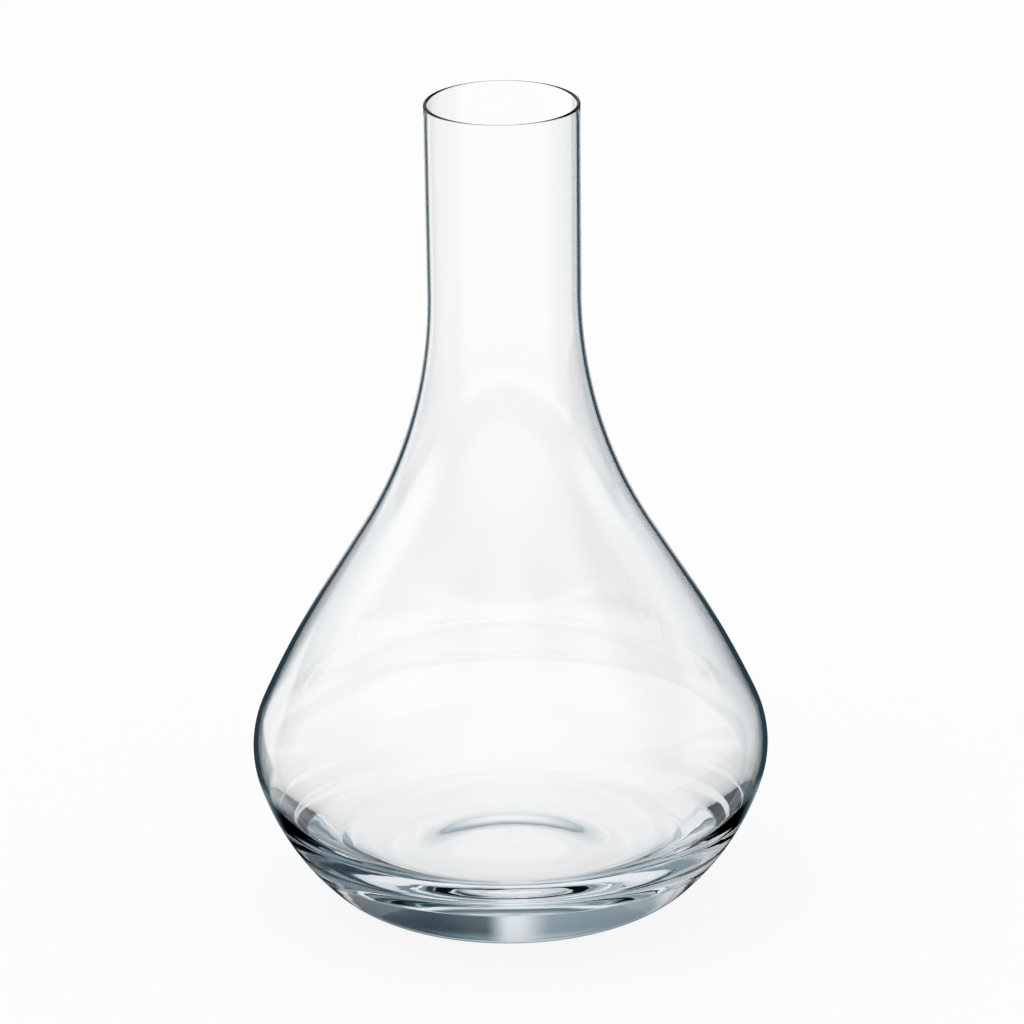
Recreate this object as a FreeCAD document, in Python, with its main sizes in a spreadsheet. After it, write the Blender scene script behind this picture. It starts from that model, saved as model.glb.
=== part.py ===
import FreeCAD, Part

import math
import os

import Sketcher

# A blown glass wine carafe: one thin-walled vessel of revolution with a narrow, slightly flared neck,
# concave shoulders, straight flanks, a wide low belly, a rounded heel and a thick base.
# Millimetres and degrees. Origin at the centre of the ring that it stands on, +Z up through the mouth.

# The driving dimensions: name, value, meaning.
SIZES = [
    ("total_height", 249.5, "from the standing ring to the top of the lip"),
    ("rim_diameter", 46.4, "outside of the neck at the lip"),
    ("neck_taper", 0.25, "lean of the neck's side, in degrees, wider at the top"),
    ("shoulder_height", 151.0657, "level at which the lines of the flank and the neck would meet"),
    ("shoulder_radius", 142, "concave sweep from the neck into the flank"),
    ("flank_radius", 310, "slow convex curve between the flank and the belly"),
    ("flank_turn", 7.4, "how far that curve turns, in degrees"),
    ("belly_diameter", 155, "outside at the widest level"),
    ("belly_height", 48.5, "level of the widest point"),
    ("belly_radius", 30, "tight curve round the widest level"),
    ("lower_wall_radius", 74, "curve from the belly down to the heel"),
    ("heel_radius", 30, "rounding from the lower wall into the base"),
    ("heel_inset", 41.5, "from the widest point in to the flat ring that it stands on"),
    ("land_width", 2, "width of that ring"),
    ("punt_height", 1.2, "hollow under the base"),
    ("punt_rise_width", 18, "soft slope between the ring and the hollow's flat top"),
    ("wall_thickness", 1.3, "glass in the belly, the flanks and the shoulders"),
    ("lip_thickness", 1.2, "full round of the fire-polished lip"),
    ("bowl_slope", 25, "lean of the bowl's foot from level, in degrees"),
    ("bowl_foot_drop", 3.7, "from the end of the bowl's curve down to the inside floor"),
    ("floor_edge_radius", 4, "rounded edge between the bowl's foot and the floor"),
]
SIZE = {name: value for name, value, meaning in SIZES}

# How far the finished height may be from the sheet's.
HEIGHT_TOLERANCE = 0.1

# Positions of an edge's points in sketch constraints.
START, END, CENTRE = range(1, 4)
# The sketch's own horizontal and vertical axes, and the origin.
LEVEL_AXIS, AXIS = range(-1, -3, -1)
ORIGIN = LEVEL_AXIS, START


def turned(centre, radius, angle):
    """The point at an angle round a centre."""
    return centre + FreeCAD.Vector(radius * math.cos(angle), radius * math.sin(angle), 0)


def bearing(start, end):
    """The angle at which one point sees another."""
    return math.atan2(end.y - start.y, end.x - start.x)


class Profile:
    """A closed outline in a sketch, drawn edge by edge in one direction."""

    def __init__(self, sketch):
        self.sketch = sketch
        self.edges = {}

    def line(self, name, start, end):
        index = self.sketch.addGeometry(Part.LineSegment(start, end), False)
        self.edges[name] = (index, START, END)

    def arc(self, name, centre, radius, start_angle, end_angle):
        clockwise = end_angle < start_angle
        low, high = sorted((start_angle, end_angle))
        circle = Part.Circle(centre, FreeCAD.Vector(0, 0, 1), radius)
        index = self.sketch.addGeometry(Part.ArcOfCircle(circle, low, high), False)
        self.edges[name] = (index, END, START) if clockwise else (index, START, END)

    def edge(self, name):
        return self.edges[name][0]

    def first(self, name):
        """The point where the outline enters an edge."""
        return self.edges[name][0], self.edges[name][1]

    def last(self, name):
        """The point where the outline leaves an edge."""
        return self.edges[name][0], self.edges[name][2]

    def centre(self, name):
        return self.edges[name][0], CENTRE

    def fix(self, kind, *arguments):
        return self.sketch.addConstraint(Sketcher.Constraint(kind, *arguments))

    def drive(self, name, expression, kind, *arguments):
        """A dimension of the sketch that follows the sheet."""
        index = self.fix(kind, *arguments)
        self.sketch.renameConstraint(index, name)
        self.sketch.setExpression(f"Constraints.{name}", expression)

    def join(self, names):
        """Each edge runs smoothly into the next one."""
        for name, following in zip(names, names[1:]):
            self.fix("Tangent", *self.last(name), *self.first(following))


def make_sheet(document):
    sheet = document.addObject("Spreadsheet::Sheet", "Sizes")
    for row, (name, value, meaning) in enumerate(SIZES, start=1):
        sheet.set(f"A{row}", meaning)
        sheet.set(f"B{row}", str(value))
        sheet.setAlias(f"B{row}", name)
    document.recompute()
    return sheet


def draw_section(profile):
    """Draws the glass right of the axis, from the floor down, out, up and back in. Returns the corner."""
    wall = SIZE["wall_thickness"]
    lip = SIZE["lip_thickness"] / 2
    taper = math.radians(SIZE["neck_taper"])
    land_outer = SIZE["belly_diameter"] / 2 - SIZE["heel_inset"]
    land_inner = land_outer - SIZE["land_width"]
    down = -math.pi / 2

    # The hollow under the base is flat, and two equal arcs lead down from it to the ring.
    rise_width = SIZE["punt_rise_width"]
    punt_height = SIZE["punt_height"]
    punt_outer = land_inner - rise_width
    rise_radius = (rise_width ** 2 + punt_height ** 2) / (4 * punt_height)
    rise_angle = 2 * math.atan(punt_height / rise_width)
    rise_centre = FreeCAD.Vector(punt_outer, punt_height - rise_radius, 0)
    punt_edge_centre = FreeCAD.Vector(land_inner, rise_radius, 0)
    punt_top = FreeCAD.Vector(0, punt_height, 0)
    punt_end = FreeCAD.Vector(punt_outer, punt_height, 0)
    rise_end = math.pi / 2 - rise_angle

    # The belly, then the heel, then the lower wall that touches both from outside.
    belly_radius = SIZE["belly_radius"]
    belly_centre = FreeCAD.Vector(SIZE["belly_diameter"] / 2 - belly_radius, SIZE["belly_height"], 0)
    heel_radius = SIZE["heel_radius"]
    heel_centre = FreeCAD.Vector(land_outer, heel_radius, 0)
    lower_radius = SIZE["lower_wall_radius"]
    to_belly = lower_radius - belly_radius
    to_heel = lower_radius - heel_radius
    apart = belly_centre.distanceToPoint(heel_centre)
    opening = math.acos((to_belly ** 2 + apart ** 2 - to_heel ** 2) / (2 * to_belly * apart))
    lower_centre = turned(belly_centre, to_belly, bearing(belly_centre, heel_centre) - opening)
    belly_foot = bearing(lower_centre, belly_centre)
    heel_head = bearing(lower_centre, heel_centre)

    # The flank's line meets the neck's line at a corner, and runs down from it past the belly.
    lip_outer = FreeCAD.Vector(SIZE["rim_diameter"] / 2, SIZE["total_height"] - lip, 0)
    neck_up = FreeCAD.Vector(math.sin(taper), math.cos(taper), 0)
    corner = lip_outer - neck_up * ((lip_outer.y - SIZE["shoulder_height"]) / neck_up.y)
    curve_radius = SIZE["flank_radius"]
    turn = math.radians(SIZE["flank_turn"])
    reach = curve_radius - (curve_radius - belly_radius) * math.cos(turn)
    flank = bearing(belly_centre, corner) - math.acos(reach / belly_centre.distanceToPoint(corner))

    # The belly runs into it through a slow curve.
    sweep = flank - turn
    curve_centre = turned(belly_centre, belly_radius - curve_radius, sweep)
    flank_foot = turned(curve_centre, curve_radius, flank)

    # The shoulder is the large fillet between the two lines.
    flank_up = FreeCAD.Vector(-math.sin(flank), math.cos(flank), 0)
    shoulder_radius = SIZE["shoulder_radius"]
    tangent_run = shoulder_radius * math.tan((flank + taper) / 2)
    flank_head = corner - flank_up * tangent_run
    neck_foot = corner + neck_up * tangent_run
    outward = -taper
    shoulder_centre = turned(neck_foot, shoulder_radius, outward)

    # The inside of the neck touches the lip's round and the shoulder's inner curve.
    lip_centre = turned(lip_outer, -lip, outward)
    inner_shoulder_radius = shoulder_radius + wall
    lean = math.acos((inner_shoulder_radius - lip) / lip_centre.distanceToPoint(shoulder_centre))
    inner_outward = bearing(lip_centre, shoulder_centre) + lean
    inner_lip = turned(lip_centre, -lip, inner_outward)
    inner_neck_foot = turned(shoulder_centre, -inner_shoulder_radius, inner_outward)
    inner_flank_head = turned(flank_head, -wall, flank)
    inner_flank_foot = turned(flank_foot, -wall, flank)

    # The bowl goes on inside the belly's curve, runs down a short straight foot and rounds into a flat floor.
    slope = math.radians(SIZE["bowl_slope"])
    inner_radius = belly_radius - wall
    bowl_end = slope + down
    foot_head = turned(belly_centre, inner_radius, bowl_end)
    floor_level = foot_head.y - SIZE["bowl_foot_drop"]
    floor_corner = FreeCAD.Vector(foot_head.x - SIZE["bowl_foot_drop"] / math.tan(slope), floor_level, 0)
    edge_radius = SIZE["floor_edge_radius"]
    edge_reach = edge_radius * math.tan(slope / 2)
    foot_end = turned(floor_corner, edge_reach, slope)
    edge_centre = floor_corner + FreeCAD.Vector(-edge_reach, edge_radius, 0)
    floor_edge = floor_corner - FreeCAD.Vector(edge_reach, 0, 0)
    floor_middle = FreeCAD.Vector(0, floor_level, 0)

    profile.line("axis", floor_middle, punt_top)
    profile.line("punt", punt_top, punt_end)
    profile.arc("punt_rise", rise_centre, rise_radius, math.pi / 2, rise_end)
    profile.arc("punt_edge", punt_edge_centre, rise_radius, rise_end + math.pi, 3 * math.pi / 2)
    profile.line("land", FreeCAD.Vector(land_inner, 0, 0), FreeCAD.Vector(land_outer, 0, 0))
    profile.arc("heel", heel_centre, heel_radius, down, heel_head)
    profile.arc("lower_wall", lower_centre, lower_radius, heel_head, belly_foot)
    profile.arc("belly", belly_centre, belly_radius, belly_foot, sweep)
    profile.arc("flank_curve", curve_centre, curve_radius, sweep, flank)
    profile.line("flank", flank_foot, flank_head)
    profile.arc("shoulder", shoulder_centre, shoulder_radius, math.pi + flank, math.pi + outward)
    profile.line("neck", neck_foot, lip_outer)
    inner_start = math.pi + inner_outward
    profile.arc("lip", lip_centre, lip, outward, inner_start)
    profile.line("inner_neck", inner_lip, inner_neck_foot)
    profile.arc("inner_shoulder", shoulder_centre, inner_shoulder_radius, inner_start, math.pi + flank)
    profile.line("inner_flank", inner_flank_head, inner_flank_foot)
    profile.arc("inner_flank_curve", curve_centre, curve_radius - wall, flank, sweep)
    profile.arc("inner_belly", belly_centre, inner_radius, sweep, bowl_end)
    profile.line("bowl_foot", foot_head, foot_end)
    profile.arc("floor_edge", edge_centre, edge_radius, bowl_end, down)
    profile.line("floor", floor_edge, floor_middle)
    return corner


def constrain_section(profile, corner):
    """Ties the section to the axis, the standing level and the sheet."""
    smooth = ["punt", "punt_rise", "punt_edge", "land", "heel", "lower_wall", "belly", "flank_curve", "flank",
              "shoulder", "neck", "lip", "inner_neck", "inner_shoulder", "inner_flank", "inner_flank_curve",
              "inner_belly", "bowl_foot", "floor_edge", "floor"]
    profile.join(smooth)
    profile.fix("Coincident", *profile.last("floor"), *profile.first("axis"))
    profile.fix("Coincident", *profile.last("axis"), *profile.first("punt"))

    # What lies on the axis and on the standing level, and what is level.
    for point in (profile.first("axis"), profile.last("axis")):
        profile.fix("PointOnObject", *point, AXIS)
    for point in (profile.first("land"), profile.last("land")):
        profile.fix("PointOnObject", *point, LEVEL_AXIS)
    for name in ("punt", "floor"):
        profile.fix("Horizontal", profile.edge(name))
    profile.fix("Equal", profile.edge("punt_rise"), profile.edge("punt_edge"))

    # Walls of even thickness: the inner curves share the outer ones' centres.
    for name in ("shoulder", "flank_curve", "belly"):
        profile.fix("Coincident", *profile.centre(name), *profile.centre("inner_" + name))

    # A construction line marks where the belly's tight curve ends.
    sketch = profile.sketch
    belly = sketch.Geometry[profile.edge("belly")]
    mark = sketch.addGeometry(Part.LineSegment(belly.Center, belly.EndPoint), True)
    profile.fix("Coincident", mark, START, *profile.centre("belly"))
    profile.fix("Coincident", mark, END, *profile.last("belly"))

    # A construction point marks where the lines of the flank and the neck would meet.
    meeting = sketch.addGeometry(Part.Point(corner), True), START
    for name in ("flank", "neck"):
        profile.fix("PointOnObject", *meeting, profile.edge(name))

    # Radii.
    radii = {
        "heel": "Sizes.heel_radius",
        "lower_wall": "Sizes.lower_wall_radius",
        "belly": "Sizes.belly_radius",
        "flank_curve": "Sizes.flank_radius",
        "shoulder": "Sizes.shoulder_radius",
        "lip": "Sizes.lip_thickness / 2",
        "inner_shoulder": "Sizes.shoulder_radius + Sizes.wall_thickness",
        "inner_flank_curve": "Sizes.flank_radius - Sizes.wall_thickness",
        "floor_edge": "Sizes.floor_edge_radius",
    }
    for name, expression in radii.items():
        radius = sketch.Geometry[profile.edge(name)].Radius
        profile.drive(name + "_radius", expression, "Radius", profile.edge(name), radius)

    # Distances from the axis.
    ring = "Sizes.belly_diameter / 2 - Sizes.heel_inset"
    across = {
        "land_outside": (profile.last("land"), ring),
        "land_inside": (profile.first("land"), ring + " - Sizes.land_width"),
        "punt_outside": (profile.last("punt"), ring + " - Sizes.land_width - Sizes.punt_rise_width"),
        "belly_centre_out": (profile.centre("belly"), "Sizes.belly_diameter / 2 - Sizes.belly_radius"),
        "rim_outside": (profile.last("neck"), "Sizes.rim_diameter / 2"),
    }
    for name, (point, expression) in across.items():
        profile.drive(name, expression, "DistanceX", *ORIGIN, *point, sketch.getPoint(*point).x)

    # Heights above the standing level.
    heights = {
        "punt_up": (profile.last("axis"), "Sizes.punt_height"),
        "belly_centre_up": (profile.centre("belly"), "Sizes.belly_height"),
        "corner_up": (meeting, "Sizes.shoulder_height"),
        "neck_end_up": (profile.last("neck"), "Sizes.total_height - Sizes.lip_thickness / 2"),
    }
    for name, (point, expression) in heights.items():
        profile.drive(name, expression, "DistanceY", *ORIGIN, *point, sketch.getPoint(*point).y)

    foot = sketch.Geometry[profile.edge("bowl_foot")]
    drop = foot.StartPoint.y - sketch.getPoint(*profile.first("floor")).y
    profile.drive("foot_down", "Sizes.bowl_foot_drop", "DistanceY", *profile.first("floor"),
                  *profile.first("bowl_foot"), drop)

    # Directions, measured from the standing level.
    directions = {
        "neck_lean": (profile.edge("neck"), "90 deg - Sizes.neck_taper * 1 deg"),
        "foot_lean": (profile.edge("bowl_foot"), "180 deg + Sizes.bowl_slope * 1 deg"),
    }
    for name, (edge, expression) in directions.items():
        line = sketch.Geometry[edge]
        profile.drive(name, expression, "Angle", edge, bearing(line.StartPoint, line.EndPoint))
    profile.drive("flank_turn", "90 deg + Sizes.flank_turn * 1 deg", "Angle", mark, profile.edge("flank"),
                  math.pi / 2 + math.radians(SIZE["flank_turn"]))


def make_carafe(document):
    """The whole vessel: its section turned once round the axis."""
    body = document.addObject("PartDesign::Body", "Carafe")
    body.Label = "carafe"
    upright_plane = next(plane for plane in body.Origin.OriginFeatures if plane.Role == "XZ_Plane")
    section = body.newObject("Sketcher::SketchObject", "GlassSection")
    section.AttachmentSupport = [(upright_plane, "")]
    section.MapMode = "FlatFace"
    document.recompute()

    profile = Profile(section)
    corner = draw_section(profile)
    constrain_section(profile, corner)
    document.recompute()

    vessel = body.newObject("PartDesign::Revolution", "Vessel")
    vessel.Profile = section
    vessel.ReferenceAxis = (section, ["V_Axis"])
    vessel.Angle = 360
    body.Tip = vessel
    body.Placement = FreeCAD.Placement()
    document.recompute()
    return body, section


def check(document, body, section):
    """Stops before anything is written if the model didn't come out whole."""
    for item in document.Objects:
        if "Invalid" in item.State or "Error" in item.State:
            raise RuntimeError(f"{item.Label} failed: {item.State}")
    if section.solve() != 0:
        raise RuntimeError("the section's sketch has no solution")
    if not section.FullyConstrained:
        raise RuntimeError("the section's sketch isn't fully constrained")
    shape = body.Shape
    if shape.isNull() or not shape.isValid() or len(shape.Solids) != 1:
        raise RuntimeError(f"{body.Label} isn't one valid solid")
    height = shape.optimalBoundingBox().ZLength
    if abs(height - document.Sizes.total_height) > HEIGHT_TOLERANCE:
        raise RuntimeError(f"{body.Label} is {height:.2f} mm tall")


def main():
    document = FreeCAD.newDocument("WineCarafe")
    make_sheet(document)
    body, section = make_carafe(document)
    check(document, body, section)
    os.makedirs("parts", exist_ok=True)
    body.Shape.exportStep(os.path.join("parts", body.Label + ".step"))
    box = body.Shape.optimalBoundingBox()
    print(f"{body.Label}: {box.XLength:.2f} x {box.YLength:.2f} x {box.ZLength:.2f} mm, "
          f"glass {body.Shape.Volume / 1000:.1f} cm3, from z {box.ZMin:.3f}")


main()
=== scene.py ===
"""A wine carafe of clear blown glass, dressed around its CAD frame.

The vessel's and the camera's sizes are in millimetres.
The ripple's and the studio's are in metres, as Blender's are.
"""
import math

import bpy
import numpy as np
from mathutils import Matrix


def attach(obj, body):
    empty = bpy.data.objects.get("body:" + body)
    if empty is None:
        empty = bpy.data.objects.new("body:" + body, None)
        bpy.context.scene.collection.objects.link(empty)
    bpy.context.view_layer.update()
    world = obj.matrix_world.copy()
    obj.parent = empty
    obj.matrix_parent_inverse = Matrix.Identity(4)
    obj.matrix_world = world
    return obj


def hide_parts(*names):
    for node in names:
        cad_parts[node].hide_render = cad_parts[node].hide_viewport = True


# the vessel's sizes: the flank's lean and the belly's sweep are what the CAD source's own sizes lead to
TOTAL_HEIGHT = 249.5
RIM_DIAMETER = 46.4
NECK_TAPER = math.radians(0.25)
SHOULDER_RADIUS = 142.0
FLANK_ANGLE = math.radians(31.4)
FLANK_RADIUS = 310.0
BELLY_SWEEP = math.radians(24.0)
BELLY_DIAMETER = 155.0
BELLY_HEIGHT = 48.5
BELLY_RADIUS = 30.0
LOWER_WALL_RADIUS = 74.0
HEEL_RADIUS = 30.0
LAND_RADIUS = 36.0
LAND_WIDTH = 2.0
PUNT_HEIGHT = 1.2
PUNT_FLAT_RADIUS = 16.0
WALL_THICKNESS = 1.3
LIP_THICKNESS = 1.2
BOWL_SLOPE = math.radians(25.0)
BOWL_FOOT_DROP = 3.7
FLOOR_EDGE_RADIUS = 4.0

# how finely the section and the turn are divided, and the least number of steps in an arc
TURN_STEPS = 256
ARC_STEP = math.radians(2.4)
LONG_STEP = 3.0
LEAST_ARC_STEPS = 3

# the glass, and its ripple: full at the foot, and faint on the wall above the fade
GLASS_IOR = 1.5
GLASS_TINT = (0.80, 0.90, 1.0)
TINT_DENSITY = 1.5
RIPPLE_TURNS = 1.6
RIPPLE_SCALE = 110.0
RIPPLE_DEPTH = 0.00006
WALL_RIPPLE_SHARE = 0.06
RIPPLE_FADE = (0.02, 0.04)

# how often light may bounce on its way, and how many of those bounces may be reflections
LIGHT_BOUNCES = 16
REFLECTED_BOUNCES = 7

# the camera, fitted to the photograph: distance, aim and focal length in pixels of a 1024-pixel frame
CAMERA_DISTANCE = 2500.0
CAMERA_PITCH = 0.3446
CAMERA_ROLL = -0.0138
CAMERA_AIM_X = 1.367
CAMERA_AIM_Z = 121.85
FOCAL_PIXELS = 8374.2
FRAME_PIXELS = 1024
SENSOR_WIDTH = 36.0
CLIP_END = 100.0

# painted reflections of a studio's walls and ceiling, which only the rays that the glass reflects see: 1
# is as white as the background, and the high levels are the walls' from the top of their height fade up
BACKDROP_WHITE = 0.985
GREY_POWERS = (1.38, 1.12, 1.0)
FRONT_LEVEL = 1.0
LEFT_LEVEL = 0.95
RIGHT_LEVEL = 0.6
RIGHT_HIGH_LEVEL = 0.1
BACK_LEVEL = 0.85
BACK_LEFT_LEVEL = 0.6
BACK_LEFT_HIGH_LEVEL = 0.35
BACK_RIGHT_LEVEL = 0.35
BACK_RIGHT_HIGH_LEVEL = 0.06
CEILING_LEVEL = 1.0
CEILING_LEFT_LEVEL = 0.4
CEILING_RIGHT_LEVEL = 0.12

# where one part of the studio fades into the next, along the direction's x, y or z
SIDE_FADE = (-0.3, 0.3)
WALL_HEIGHT_FADE = (0.2, 0.3)
BACK_LEFT_FADE = (-0.14, -0.01)
BACK_RIGHT_FADE = (0.01, 0.1)
BACK_FADE = (0.35, 0.7)
FRONT_FADE = (-0.5, -0.1)
CEILING_LEFT_FADE = (-0.4, -0.1)
CEILING_RIGHT_FADE = (0.1, 0.4)
CEILING_FADE = (0.55, 0.75)

# painted reflections on the floor, which only the rays that the glass reflects see: paler on the left,
# darker on the right, dark far behind with a pale painted card strip, and painted shade under and close
# round the foot
REFLECTED_FLOOR_LEFT_LEVEL = 1.0
REFLECTED_FLOOR_RIGHT_LEVEL = 0.25
REFLECTED_FLOOR_FRONT_LEVEL = 0.95
PAINTED_FAR_DARK_LEVEL = 0.06
UNDER_FOOT_SHADE_LEVEL = 0.65
NEAR_BACK_SHADE_LEVEL = 0.2
NEAR_BACK_OUTER_LEVEL = 0.95
NEAR_FRONT_SHADE_LEVEL = 0.1
NEAR_PAINTED_CARD_SHARE = 0.85

# where one part of the painted floor pattern fades into the next, along the direction's y
PAINTED_CARD_FADE = (0.93, 0.98)
DARK_FADE = (0.79, 0.86)
NEAR_BACK_FADE = (0.2, 0.9)
NEAR_FRONT_FADE = (-0.9, -0.2)

# the same by distance from the axis; close to it the dark part also reaches further round
UNDER_REACH = (0.03, 0.055)
NEAR_BACK_REACH = (0.055, 0.075)
FRONT_REACH = (0.08, 0.12)
NEAR_REACH = (0.1, 0.13)
PAINTED_CARD_REACH = (0.2, 0.3)
DARK_REACH = (0.2, 0.45)
DARK_SPREAD = 0.45

# the floor's size, and how far it lies under the glass
FLOOR_HALF = 20.0
FLOOR_GAP = 0.0001

# the floor's white, the share of it that is lit by the lamp and the sky, and the soft lamp
FLOOR_WHITE = 0.9725
FLOOR_SHADE_SHARE = 0.1
LAMP_STRENGTH = 0.35
LAMP_ANGLE = math.radians(30.0)
LAMP_TILT = math.radians(30.0)
LAMP_TURN = math.radians(-60.0)


def unit(angle):
    """The unit vector at an angle from the radial direction."""
    return np.array([math.cos(angle), math.sin(angle)])


def angle_of(vector):
    """The angle of a vector from the radial direction."""
    return math.atan2(vector[1], vector[0])


class Section:
    """One half of the vessel's section, as points (radius, height) in millimetres."""

    def __init__(self, start):
        self.points = [np.array(start, float)]

    def line(self, end):
        """A straight run to an end."""
        end = np.array(end, float)
        start = self.points[-1]
        steps = max(1, math.ceil(np.linalg.norm(end - start) / LONG_STEP))
        for i in range(1, steps + 1):
            self.points.append(start + (end - start) * i / steps)

    def arc(self, centre, radius, start, end):
        """An arc about a centre, from one angle to another."""
        by_angle = abs(end - start) / ARC_STEP
        by_length = abs(end - start) * radius / LONG_STEP
        steps = max(LEAST_ARC_STEPS, math.ceil(max(by_angle, by_length)))
        for i in range(1, steps + 1):
            self.points.append(centre + radius * unit(start + (end - start) * i / steps))


def arcs_between(first, first_radius, second, second_radius, bridge_radius):
    """The centre of the arc that touches two others from outside them, on the axis side."""
    reach_first = bridge_radius - first_radius
    reach_second = bridge_radius - second_radius
    span = second - first
    distance = np.linalg.norm(span)
    along = (reach_first ** 2 - reach_second ** 2 + distance ** 2) / (2 * distance)
    across = math.sqrt(reach_first ** 2 - along ** 2)
    direction = span / distance
    side = np.array([-direction[1], direction[0]])
    choices = [first + direction * along + side * across, first + direction * along - side * across]
    return min(choices, key=lambda point: point[0])


def carafe_section():
    """The closed section: underside, outside up to the lip, and inside down to the floor's centre."""
    belly = np.array([BELLY_DIAMETER / 2 - BELLY_RADIUS, BELLY_HEIGHT])
    heel = np.array([LAND_RADIUS, HEEL_RADIUS])
    lower_wall = arcs_between(belly, BELLY_RADIUS, heel, HEEL_RADIUS, LOWER_WALL_RADIUS)
    heel_end = angle_of(heel - lower_wall)
    belly_start = angle_of(belly - lower_wall)
    flank_curve = belly + (BELLY_RADIUS - FLANK_RADIUS) * unit(BELLY_SWEEP)
    flank_foot = flank_curve + FLANK_RADIUS * unit(FLANK_ANGLE)
    flank_up = np.array([-math.sin(FLANK_ANGLE), math.cos(FLANK_ANGLE)])

    lip_top = np.array([RIM_DIAMETER / 2, TOTAL_HEIGHT - LIP_THICKNESS / 2])
    neck_down = -np.array([math.sin(NECK_TAPER), math.cos(NECK_TAPER)])
    reach = np.linalg.solve(np.array([neck_down, -flank_up]).T, flank_foot - lip_top)
    corner = lip_top + reach[0] * neck_down
    turn = math.acos(float(np.dot(neck_down, -flank_up)))
    tangent = SHOULDER_RADIUS * math.tan(turn / 2)
    shoulder_top = corner - neck_down * tangent
    shoulder_foot = corner - flank_up * tangent
    outward = np.array([math.cos(NECK_TAPER), -math.sin(NECK_TAPER)])
    shoulder = shoulder_top + outward * SHOULDER_RADIUS
    lip = lip_top - outward * LIP_THICKNESS / 2

    inner_shoulder_radius = SHOULDER_RADIUS + WALL_THICKNESS
    to_shoulder = shoulder - lip
    lean = math.acos((inner_shoulder_radius - LIP_THICKNESS / 2) / np.linalg.norm(to_shoulder))
    inward_angle = math.pi + max((angle_of(to_shoulder) + s * lean for s in (-1, 1)), key=math.cos)
    inner_neck_foot = shoulder + unit(inward_angle) * inner_shoulder_radius
    flank_normal = math.pi + FLANK_ANGLE

    punt_turn = 2 * math.atan(PUNT_HEIGHT / (LAND_RADIUS - LAND_WIDTH - PUNT_FLAT_RADIUS))
    punt_radius = (LAND_RADIUS - LAND_WIDTH - PUNT_FLAT_RADIUS) / math.sin(punt_turn) / 2
    punt_top = np.array([PUNT_FLAT_RADIUS, PUNT_HEIGHT - punt_radius])
    punt_edge = np.array([LAND_RADIUS - LAND_WIDTH, punt_radius])

    inner_belly_radius = BELLY_RADIUS - WALL_THICKNESS
    bowl_angle = BOWL_SLOPE - math.pi / 2
    foot_head = belly + inner_belly_radius * unit(bowl_angle)
    floor_corner = foot_head - np.array([BOWL_FOOT_DROP / math.tan(BOWL_SLOPE), BOWL_FOOT_DROP])
    edge_reach = FLOOR_EDGE_RADIUS * math.tan(BOWL_SLOPE / 2)
    edge_centre = floor_corner + np.array([-edge_reach, FLOOR_EDGE_RADIUS])

    section = Section((0, PUNT_HEIGHT))
    section.line((PUNT_FLAT_RADIUS, PUNT_HEIGHT))
    section.arc(punt_top, punt_radius, math.pi / 2, math.pi / 2 - punt_turn)
    section.arc(punt_edge, punt_radius, 1.5 * math.pi - punt_turn, 1.5 * math.pi)
    section.line((LAND_RADIUS, 0))
    section.arc(heel, HEEL_RADIUS, -math.pi / 2, heel_end)
    section.arc(lower_wall, LOWER_WALL_RADIUS, heel_end, belly_start)
    section.arc(belly, BELLY_RADIUS, belly_start, BELLY_SWEEP)
    section.arc(flank_curve, FLANK_RADIUS, BELLY_SWEEP, FLANK_ANGLE)
    section.line(shoulder_foot)
    section.arc(shoulder, SHOULDER_RADIUS, flank_normal, math.pi - NECK_TAPER)
    section.line(lip_top)
    section.arc(lip, LIP_THICKNESS / 2, -NECK_TAPER, inward_angle)
    section.line(inner_neck_foot)
    section.arc(shoulder, inner_shoulder_radius, inward_angle, flank_normal)
    section.line(flank_curve + (FLANK_RADIUS - WALL_THICKNESS) * unit(FLANK_ANGLE))
    section.arc(flank_curve, FLANK_RADIUS - WALL_THICKNESS, FLANK_ANGLE, BELLY_SWEEP)
    section.arc(belly, inner_belly_radius, BELLY_SWEEP, bowl_angle)
    section.line(floor_corner + edge_reach * unit(BOWL_SLOPE))
    section.arc(edge_centre, FLOOR_EDGE_RADIUS, bowl_angle, -math.pi / 2)
    section.line((0, floor_corner[1]))
    return section.points


def turned_mesh(name, points):
    """The section turned once round the Z axis, closed on the axis at both ends, in metres."""
    last = len(points) - 1
    vertices = [(0.0, 0.0, points[0][1] / 1000)]
    for point in points[1:last]:
        for j in range(TURN_STEPS):
            angle = 2 * math.pi * j / TURN_STEPS
            radius = point[0] / 1000
            vertices.append((radius * math.cos(angle), radius * math.sin(angle), point[1] / 1000))
    vertices.append((0.0, 0.0, points[last][1] / 1000))

    def index(ring, j):
        return 1 + (ring - 1) * TURN_STEPS + j % TURN_STEPS

    faces = []
    for j in range(TURN_STEPS):
        faces.append((0, index(1, j + 1), index(1, j)))
    for ring in range(1, last - 1):
        for j in range(TURN_STEPS):
            faces.append((index(ring, j), index(ring, j + 1), index(ring + 1, j + 1), index(ring + 1, j)))
    for j in range(TURN_STEPS):
        faces.append((len(vertices) - 1, index(last - 1, j), index(last - 1, j + 1)))
    mesh = bpy.data.meshes.new(name)
    mesh.from_pydata(vertices, [], faces)
    mesh.polygons.foreach_set("use_smooth", [True] * len(mesh.polygons))
    mesh.update()
    piece = bpy.data.objects.new(name, mesh)
    bpy.context.scene.collection.objects.link(piece)
    return piece


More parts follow.
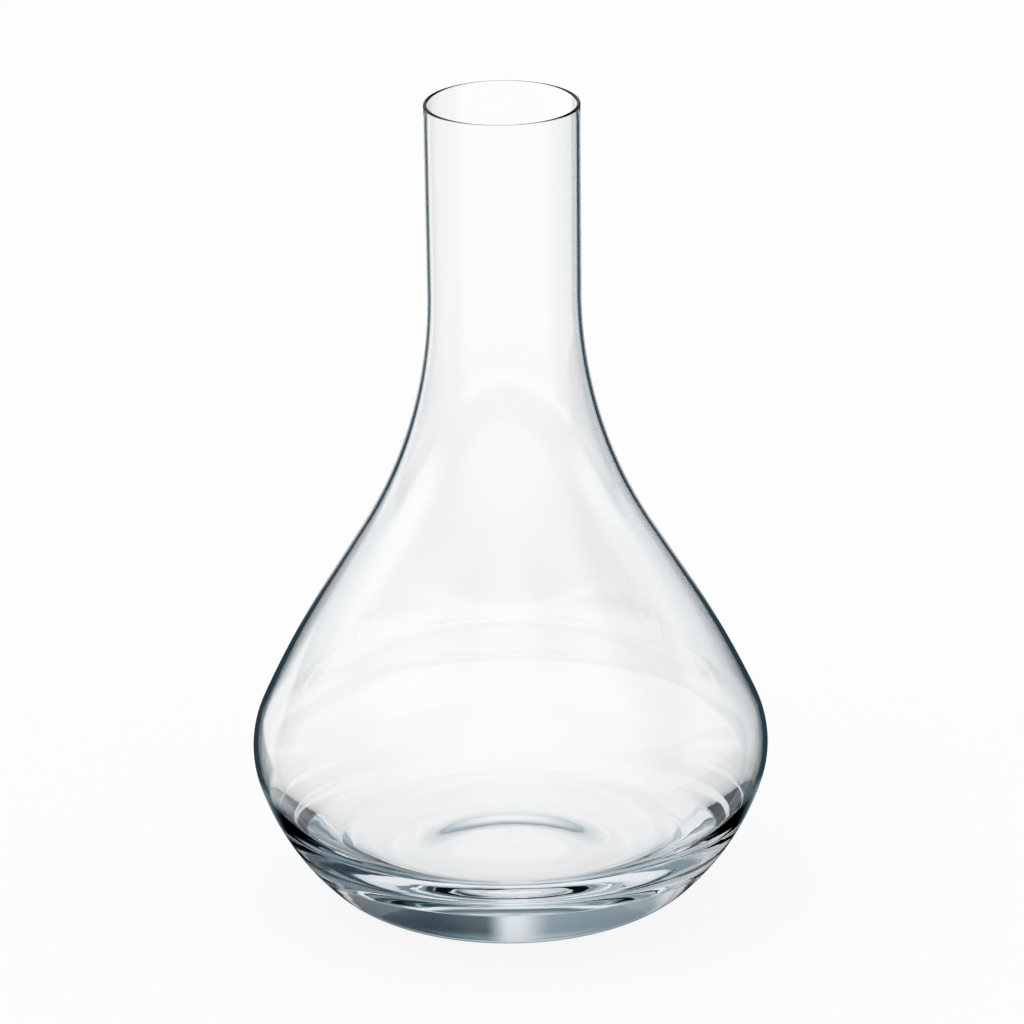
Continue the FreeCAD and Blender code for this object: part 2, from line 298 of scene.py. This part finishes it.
class Nodes:
    """Short ways to add shader nodes to one node tree."""

    def __init__(self, tree):
        self.tree = tree
        tree.nodes.clear()

    def put(self, socket, value):
        """Gives a socket a number, a colour or a link."""
        if isinstance(value, (int, float)):
            socket.default_value = value
        elif isinstance(value, tuple):
            socket.default_value = (*value, 1) if len(socket.default_value) == 4 else value
        else:
            self.tree.links.new(value, socket)

    def ramp(self, value, span, at_low, at_high):
        """A smooth step from one level to another over a span of a value."""
        node = self.tree.nodes.new("ShaderNodeMapRange")
        node.interpolation_type = "SMOOTHSTEP"
        self.put(node.inputs["Value"], value)
        self.put(node.inputs["From Min"], span[0])
        self.put(node.inputs["From Max"], span[1])
        self.put(node.inputs["To Min"], at_low)
        self.put(node.inputs["To Max"], at_high)
        return node.outputs[0]

    def rise(self, value, span):
        """A smooth step from 0 to 1 over a span of a value."""
        return self.ramp(value, span, 0.0, 1.0)

    def fall(self, value, span):
        """A smooth step from 1 to 0 over a span of a value."""
        return self.ramp(value, span, 1.0, 0.0)

    def blend(self, share, first, second):
        """Two numbers mixed by a share."""
        node = self.tree.nodes.new("ShaderNodeMix")
        for index, value in ((0, share), (2, first), (3, second)):
            self.put(node.inputs[index], value)
        return node.outputs[0]

    def colour(self, share, first, second):
        """Two colours mixed by a share."""
        node = self.tree.nodes.new("ShaderNodeMix")
        node.data_type = "RGBA"
        for index, value in ((0, share), (6, first), (7, second)):
            self.put(node.inputs[index], value)
        return node.outputs[2]

    def scaled(self, colour, amount):
        """A colour times a number."""
        node = self.tree.nodes.new("ShaderNodeVectorMath")
        node.operation = "SCALE"
        self.put(node.inputs[0], colour)
        self.put(node.inputs["Scale"], amount)
        return node.outputs[0]

    def maths(self, operation, first, second=0.0):
        """One sum on one or two numbers."""
        node = self.tree.nodes.new("ShaderNodeMath")
        node.operation = operation
        self.put(node.inputs[0], first)
        self.put(node.inputs[1], second)
        return node.outputs[0]

    def tinted(self, level):
        """A level of grey as a colour: the darker it is, the bluer."""
        powers = [self.maths("POWER", level, power) for power in GREY_POWERS]
        node = self.tree.nodes.new("ShaderNodeCombineXYZ")
        for socket, power in zip(node.inputs, powers):
            self.put(socket, power)
        return self.scaled(node.outputs[0], BACKDROP_WHITE)

    def direction(self, output):
        """The x, y and z of the direction from the origin to a point, or of a world ray."""
        coordinates = self.tree.nodes.new("ShaderNodeTexCoord")
        unit_length = self.tree.nodes.new("ShaderNodeVectorMath")
        unit_length.operation = "NORMALIZE"
        self.put(unit_length.inputs[0], coordinates.outputs[output])
        parts = self.tree.nodes.new("ShaderNodeSeparateXYZ")
        self.put(parts.inputs[0], unit_length.outputs[0])
        return parts.outputs

    def distance(self):
        """How far a point of the floor lies from the axis, in metres."""
        coordinates = self.tree.nodes.new("ShaderNodeTexCoord")
        length = self.tree.nodes.new("ShaderNodeVectorMath")
        length.operation = "LENGTH"
        self.put(length.inputs[0], coordinates.outputs["Object"])
        return length.outputs["Value"]

    def reflected(self):
        """1 for the rays that the glass has reflected, and 0 for the rest."""
        path = self.tree.nodes.new("ShaderNodeLightPath")
        return self.maths("GREATER_THAN", path.outputs["Glossy Depth"], 0.5)

    def white_or_painted_reflection(self, white, level):
        """The white background, and for the rays that the glass has reflected, a painted reflection of
        the studio round it.
        """
        return self.colour(self.reflected(), (white,) * 3, self.tinted(level))


def glass_material():
    """Clear soda glass: a faint cool tint where it is thick, and a ripple round the foot."""
    material = bpy.data.materials.new("carafe_glass")
    material.use_nodes = True
    nodes = Nodes(material.node_tree)
    shader = nodes.tree.nodes.new("ShaderNodeBsdfPrincipled")
    nodes.put(shader.inputs["Base Color"], (1.0, 1.0, 1.0))
    nodes.put(shader.inputs["Roughness"], 0.0)
    nodes.put(shader.inputs["IOR"], GLASS_IOR)
    nodes.put(shader.inputs["Transmission Weight"], 1.0)

    coordinates = nodes.tree.nodes.new("ShaderNodeTexCoord")
    parts = nodes.tree.nodes.new("ShaderNodeSeparateXYZ")
    nodes.put(parts.inputs[0], coordinates.outputs["Object"])
    x, y, z = parts.outputs
    turn = nodes.maths("ARCTAN2", y, x)
    squares = nodes.maths("ADD", nodes.maths("MULTIPLY", x, x), nodes.maths("MULTIPLY", y, y))
    reach = nodes.maths("ADD", nodes.maths("SQRT", squares), z)
    place = nodes.tree.nodes.new("ShaderNodeCombineXYZ")
    nodes.put(place.inputs[0], nodes.maths("MULTIPLY", nodes.maths("COSINE", turn), RIPPLE_TURNS))
    nodes.put(place.inputs[1], nodes.maths("MULTIPLY", nodes.maths("SINE", turn), RIPPLE_TURNS))
    nodes.put(place.inputs[2], nodes.maths("MULTIPLY", reach, RIPPLE_SCALE))
    noise = nodes.tree.nodes.new("ShaderNodeTexNoise")
    nodes.put(noise.inputs["Vector"], place.outputs[0])
    nodes.put(noise.inputs["Scale"], 1.0)
    nodes.put(noise.inputs["Detail"], 1.0)
    fade = nodes.ramp(z, RIPPLE_FADE, 1.0, WALL_RIPPLE_SHARE)
    height = nodes.maths("MULTIPLY", noise.outputs[0], fade)
    bump = nodes.tree.nodes.new("ShaderNodeBump")
    nodes.put(bump.inputs["Distance"], RIPPLE_DEPTH)
    nodes.put(bump.inputs["Height"], height)
    nodes.put(shader.inputs["Normal"], bump.outputs[0])

    absorption = nodes.tree.nodes.new("ShaderNodeVolumeAbsorption")
    nodes.put(absorption.inputs["Color"], GLASS_TINT)
    nodes.put(absorption.inputs["Density"], TINT_DENSITY)
    output = nodes.tree.nodes.new("ShaderNodeOutputMaterial")
    nodes.put(output.inputs["Surface"], shader.outputs[0])
    nodes.put(output.inputs["Volume"], absorption.outputs[0])
    return material


def make_world():
    """The world: white to the camera and in the light it gives, and for the rays that the glass reflects,
    a painted studio: white in front and above, paler on the left than on the right.
    """
    world = bpy.data.worlds.new("studio")
    bpy.context.scene.world = world
    world.use_nodes = True
    nodes = Nodes(world.node_tree)
    x, y, z = nodes.direction("Generated")
    # painted reflections: darker walls and ceiling on the right and behind, which only the glass's
    # reflections show
    right = nodes.ramp(z, WALL_HEIGHT_FADE, RIGHT_LEVEL, RIGHT_HIGH_LEVEL)
    sides = nodes.blend(nodes.rise(x, SIDE_FADE), LEFT_LEVEL, right)
    back_left = nodes.ramp(z, WALL_HEIGHT_FADE, BACK_LEFT_LEVEL, BACK_LEFT_HIGH_LEVEL)
    back_right = nodes.ramp(z, WALL_HEIGHT_FADE, BACK_RIGHT_LEVEL, BACK_RIGHT_HIGH_LEVEL)
    back = nodes.blend(nodes.rise(x, BACK_LEFT_FADE), back_left, BACK_LEVEL)
    back = nodes.blend(nodes.rise(x, BACK_RIGHT_FADE), back, back_right)
    level = nodes.blend(nodes.rise(y, BACK_FADE), sides, back)
    level = nodes.blend(nodes.fall(y, FRONT_FADE), level, FRONT_LEVEL)
    ceiling = nodes.ramp(x, CEILING_LEFT_FADE, CEILING_LEFT_LEVEL, CEILING_LEVEL)
    ceiling = nodes.blend(nodes.rise(x, CEILING_RIGHT_FADE), ceiling, CEILING_RIGHT_LEVEL)
    level = nodes.blend(nodes.rise(z, CEILING_FADE), level, ceiling)
    background = nodes.tree.nodes.new("ShaderNodeBackground")
    nodes.put(background.inputs["Color"], nodes.white_or_painted_reflection(BACKDROP_WHITE, level))
    output = nodes.tree.nodes.new("ShaderNodeOutputWorld")
    nodes.put(output.inputs["Surface"], background.outputs[0])


def make_floor():
    """A plain pale floor under the glass, as white as the background, which takes a faint shadow; the
    rays that the glass reflects see painted reflections on it instead: painted shade round the foot and
    painted dark patches.
    """
    signs = ((-1, -1), (1, -1), (1, 1), (-1, 1))
    corners = [(across * FLOOR_HALF, along * FLOOR_HALF, -FLOOR_GAP) for across, along in signs]
    mesh = bpy.data.meshes.new("studio_floor")
    mesh.from_pydata(corners, [], [(0, 1, 2, 3)])
    floor = bpy.data.objects.new("studio_floor", mesh)
    bpy.context.scene.collection.objects.link(floor)
    material = bpy.data.materials.new("studio_floor")
    material.use_nodes = True
    mesh.materials.append(material)
    nodes = Nodes(material.node_tree)
    x, y, _ = nodes.direction("Object")
    away = nodes.distance()
    # painted reflections, seen only by the rays that the glass reflects: darker to the right, dark far
    # behind, and a pale painted card strip behind
    sides = nodes.ramp(x, SIDE_FADE, REFLECTED_FLOOR_LEFT_LEVEL, REFLECTED_FLOOR_RIGHT_LEVEL)
    spread = nodes.ramp(away, DARK_REACH, DARK_SPREAD, 0.0)
    far = nodes.ramp(nodes.maths("ADD", y, spread), DARK_FADE, sides, PAINTED_FAR_DARK_LEVEL)
    painted_card_share = nodes.ramp(away, PAINTED_CARD_REACH, NEAR_PAINTED_CARD_SHARE, 1.0)
    painted_card_strip = nodes.maths("MULTIPLY", nodes.rise(y, PAINTED_CARD_FADE), painted_card_share)
    far = nodes.maths("MAXIMUM", far, painted_card_strip)
    # painted shade under and close round the foot, darkest just behind and in front of it
    painted_shade_behind = nodes.ramp(away, NEAR_BACK_REACH, NEAR_BACK_SHADE_LEVEL, NEAR_BACK_OUTER_LEVEL)
    painted_shade_in_front = nodes.ramp(y, NEAR_FRONT_FADE, NEAR_FRONT_SHADE_LEVEL, 0.0)
    painted_shade_round_foot = nodes.blend(nodes.rise(y, NEAR_BACK_FADE), painted_shade_in_front, painted_shade_behind)
    painted_shade_round_foot = nodes.blend(nodes.rise(away, UNDER_REACH), UNDER_FOOT_SHADE_LEVEL, painted_shade_round_foot)
    level = nodes.blend(nodes.rise(away, NEAR_REACH), painted_shade_round_foot, far)
    front = nodes.maths("MULTIPLY", nodes.fall(y, FRONT_FADE), nodes.rise(away, FRONT_REACH))
    level = nodes.blend(front, level, REFLECTED_FLOOR_FRONT_LEVEL)
    glow = nodes.tree.nodes.new("ShaderNodeEmission")
    nodes.put(glow.inputs["Color"], nodes.white_or_painted_reflection(FLOOR_WHITE, level))
    shade = nodes.tree.nodes.new("ShaderNodeBsdfDiffuse")
    nodes.put(shade.inputs["Color"], (1.0, 1.0, 1.0))
    mix = nodes.tree.nodes.new("ShaderNodeMixShader")
    nodes.put(mix.inputs[0], nodes.blend(nodes.reflected(), FLOOR_SHADE_SHARE, 0.0))
    nodes.put(mix.inputs[1], glow.outputs[0])
    nodes.put(mix.inputs[2], shade.outputs[0])
    output = nodes.tree.nodes.new("ShaderNodeOutputMaterial")
    nodes.put(output.inputs["Surface"], mix.outputs[0])


def make_lamp():
    """A soft lamp high on the left in front, which gives the floor a faint shadow."""
    data = bpy.data.lights.new("lamp", "SUN")
    data.energy = LAMP_STRENGTH
    data.angle = LAMP_ANGLE
    lamp = bpy.data.objects.new("lamp", data)
    lamp.rotation_euler = (LAMP_TILT, 0.0, LAMP_TURN)
    lamp.visible_glossy = False
    lamp.visible_transmission = False
    bpy.context.scene.collection.objects.link(lamp)


def make_camera():
    """The camera at the photograph's angle, aimed at a point on the carafe's axis."""
    target = np.array([CAMERA_AIM_X, 0.0, CAMERA_AIM_Z])
    back = np.array([0.0, -math.cos(CAMERA_PITCH), math.sin(CAMERA_PITCH)])
    level = np.array([1.0, 0.0, 0.0])
    upright = np.cross(level, -back)
    right = math.cos(CAMERA_ROLL) * level + math.sin(CAMERA_ROLL) * upright
    up = math.cos(CAMERA_ROLL) * upright - math.sin(CAMERA_ROLL) * level
    place = (target + back * CAMERA_DISTANCE) / 1000
    data = bpy.data.cameras.new("camera")
    data.sensor_width = SENSOR_WIDTH
    data.lens = FOCAL_PIXELS * SENSOR_WIDTH / FRAME_PIXELS
    data.clip_end = CLIP_END
    camera = bpy.data.objects.new("camera", data)
    rows = [[float(column[row]) for column in (right, up, back, place)] for row in range(3)]
    camera.matrix_world = Matrix([*rows, [0, 0, 0, 1]])
    bpy.context.scene.collection.objects.link(camera)
    bpy.context.scene.camera = camera


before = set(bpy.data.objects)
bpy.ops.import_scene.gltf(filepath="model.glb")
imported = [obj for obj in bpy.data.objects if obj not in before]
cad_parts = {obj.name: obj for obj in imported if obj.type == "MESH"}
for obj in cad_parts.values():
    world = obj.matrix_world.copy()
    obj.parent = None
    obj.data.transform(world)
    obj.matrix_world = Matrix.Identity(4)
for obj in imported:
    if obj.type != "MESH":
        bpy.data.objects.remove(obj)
bpy.context.scene.view_settings.view_transform = "Standard"
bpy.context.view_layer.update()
carafe = turned_mesh("carafe_glass", carafe_section())
carafe.data.materials.append(glass_material())
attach(carafe, "root")
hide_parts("carafe")
make_world()
make_floor()
make_lamp()
make_camera()
bpy.context.scene.cycles.max_bounces = LIGHT_BOUNCES
bpy.context.scene.cycles.glossy_bounces = REFLECTED_BOUNCES
bpy.context.scene.cycles.transmission_bounces = LIGHT_BOUNCES
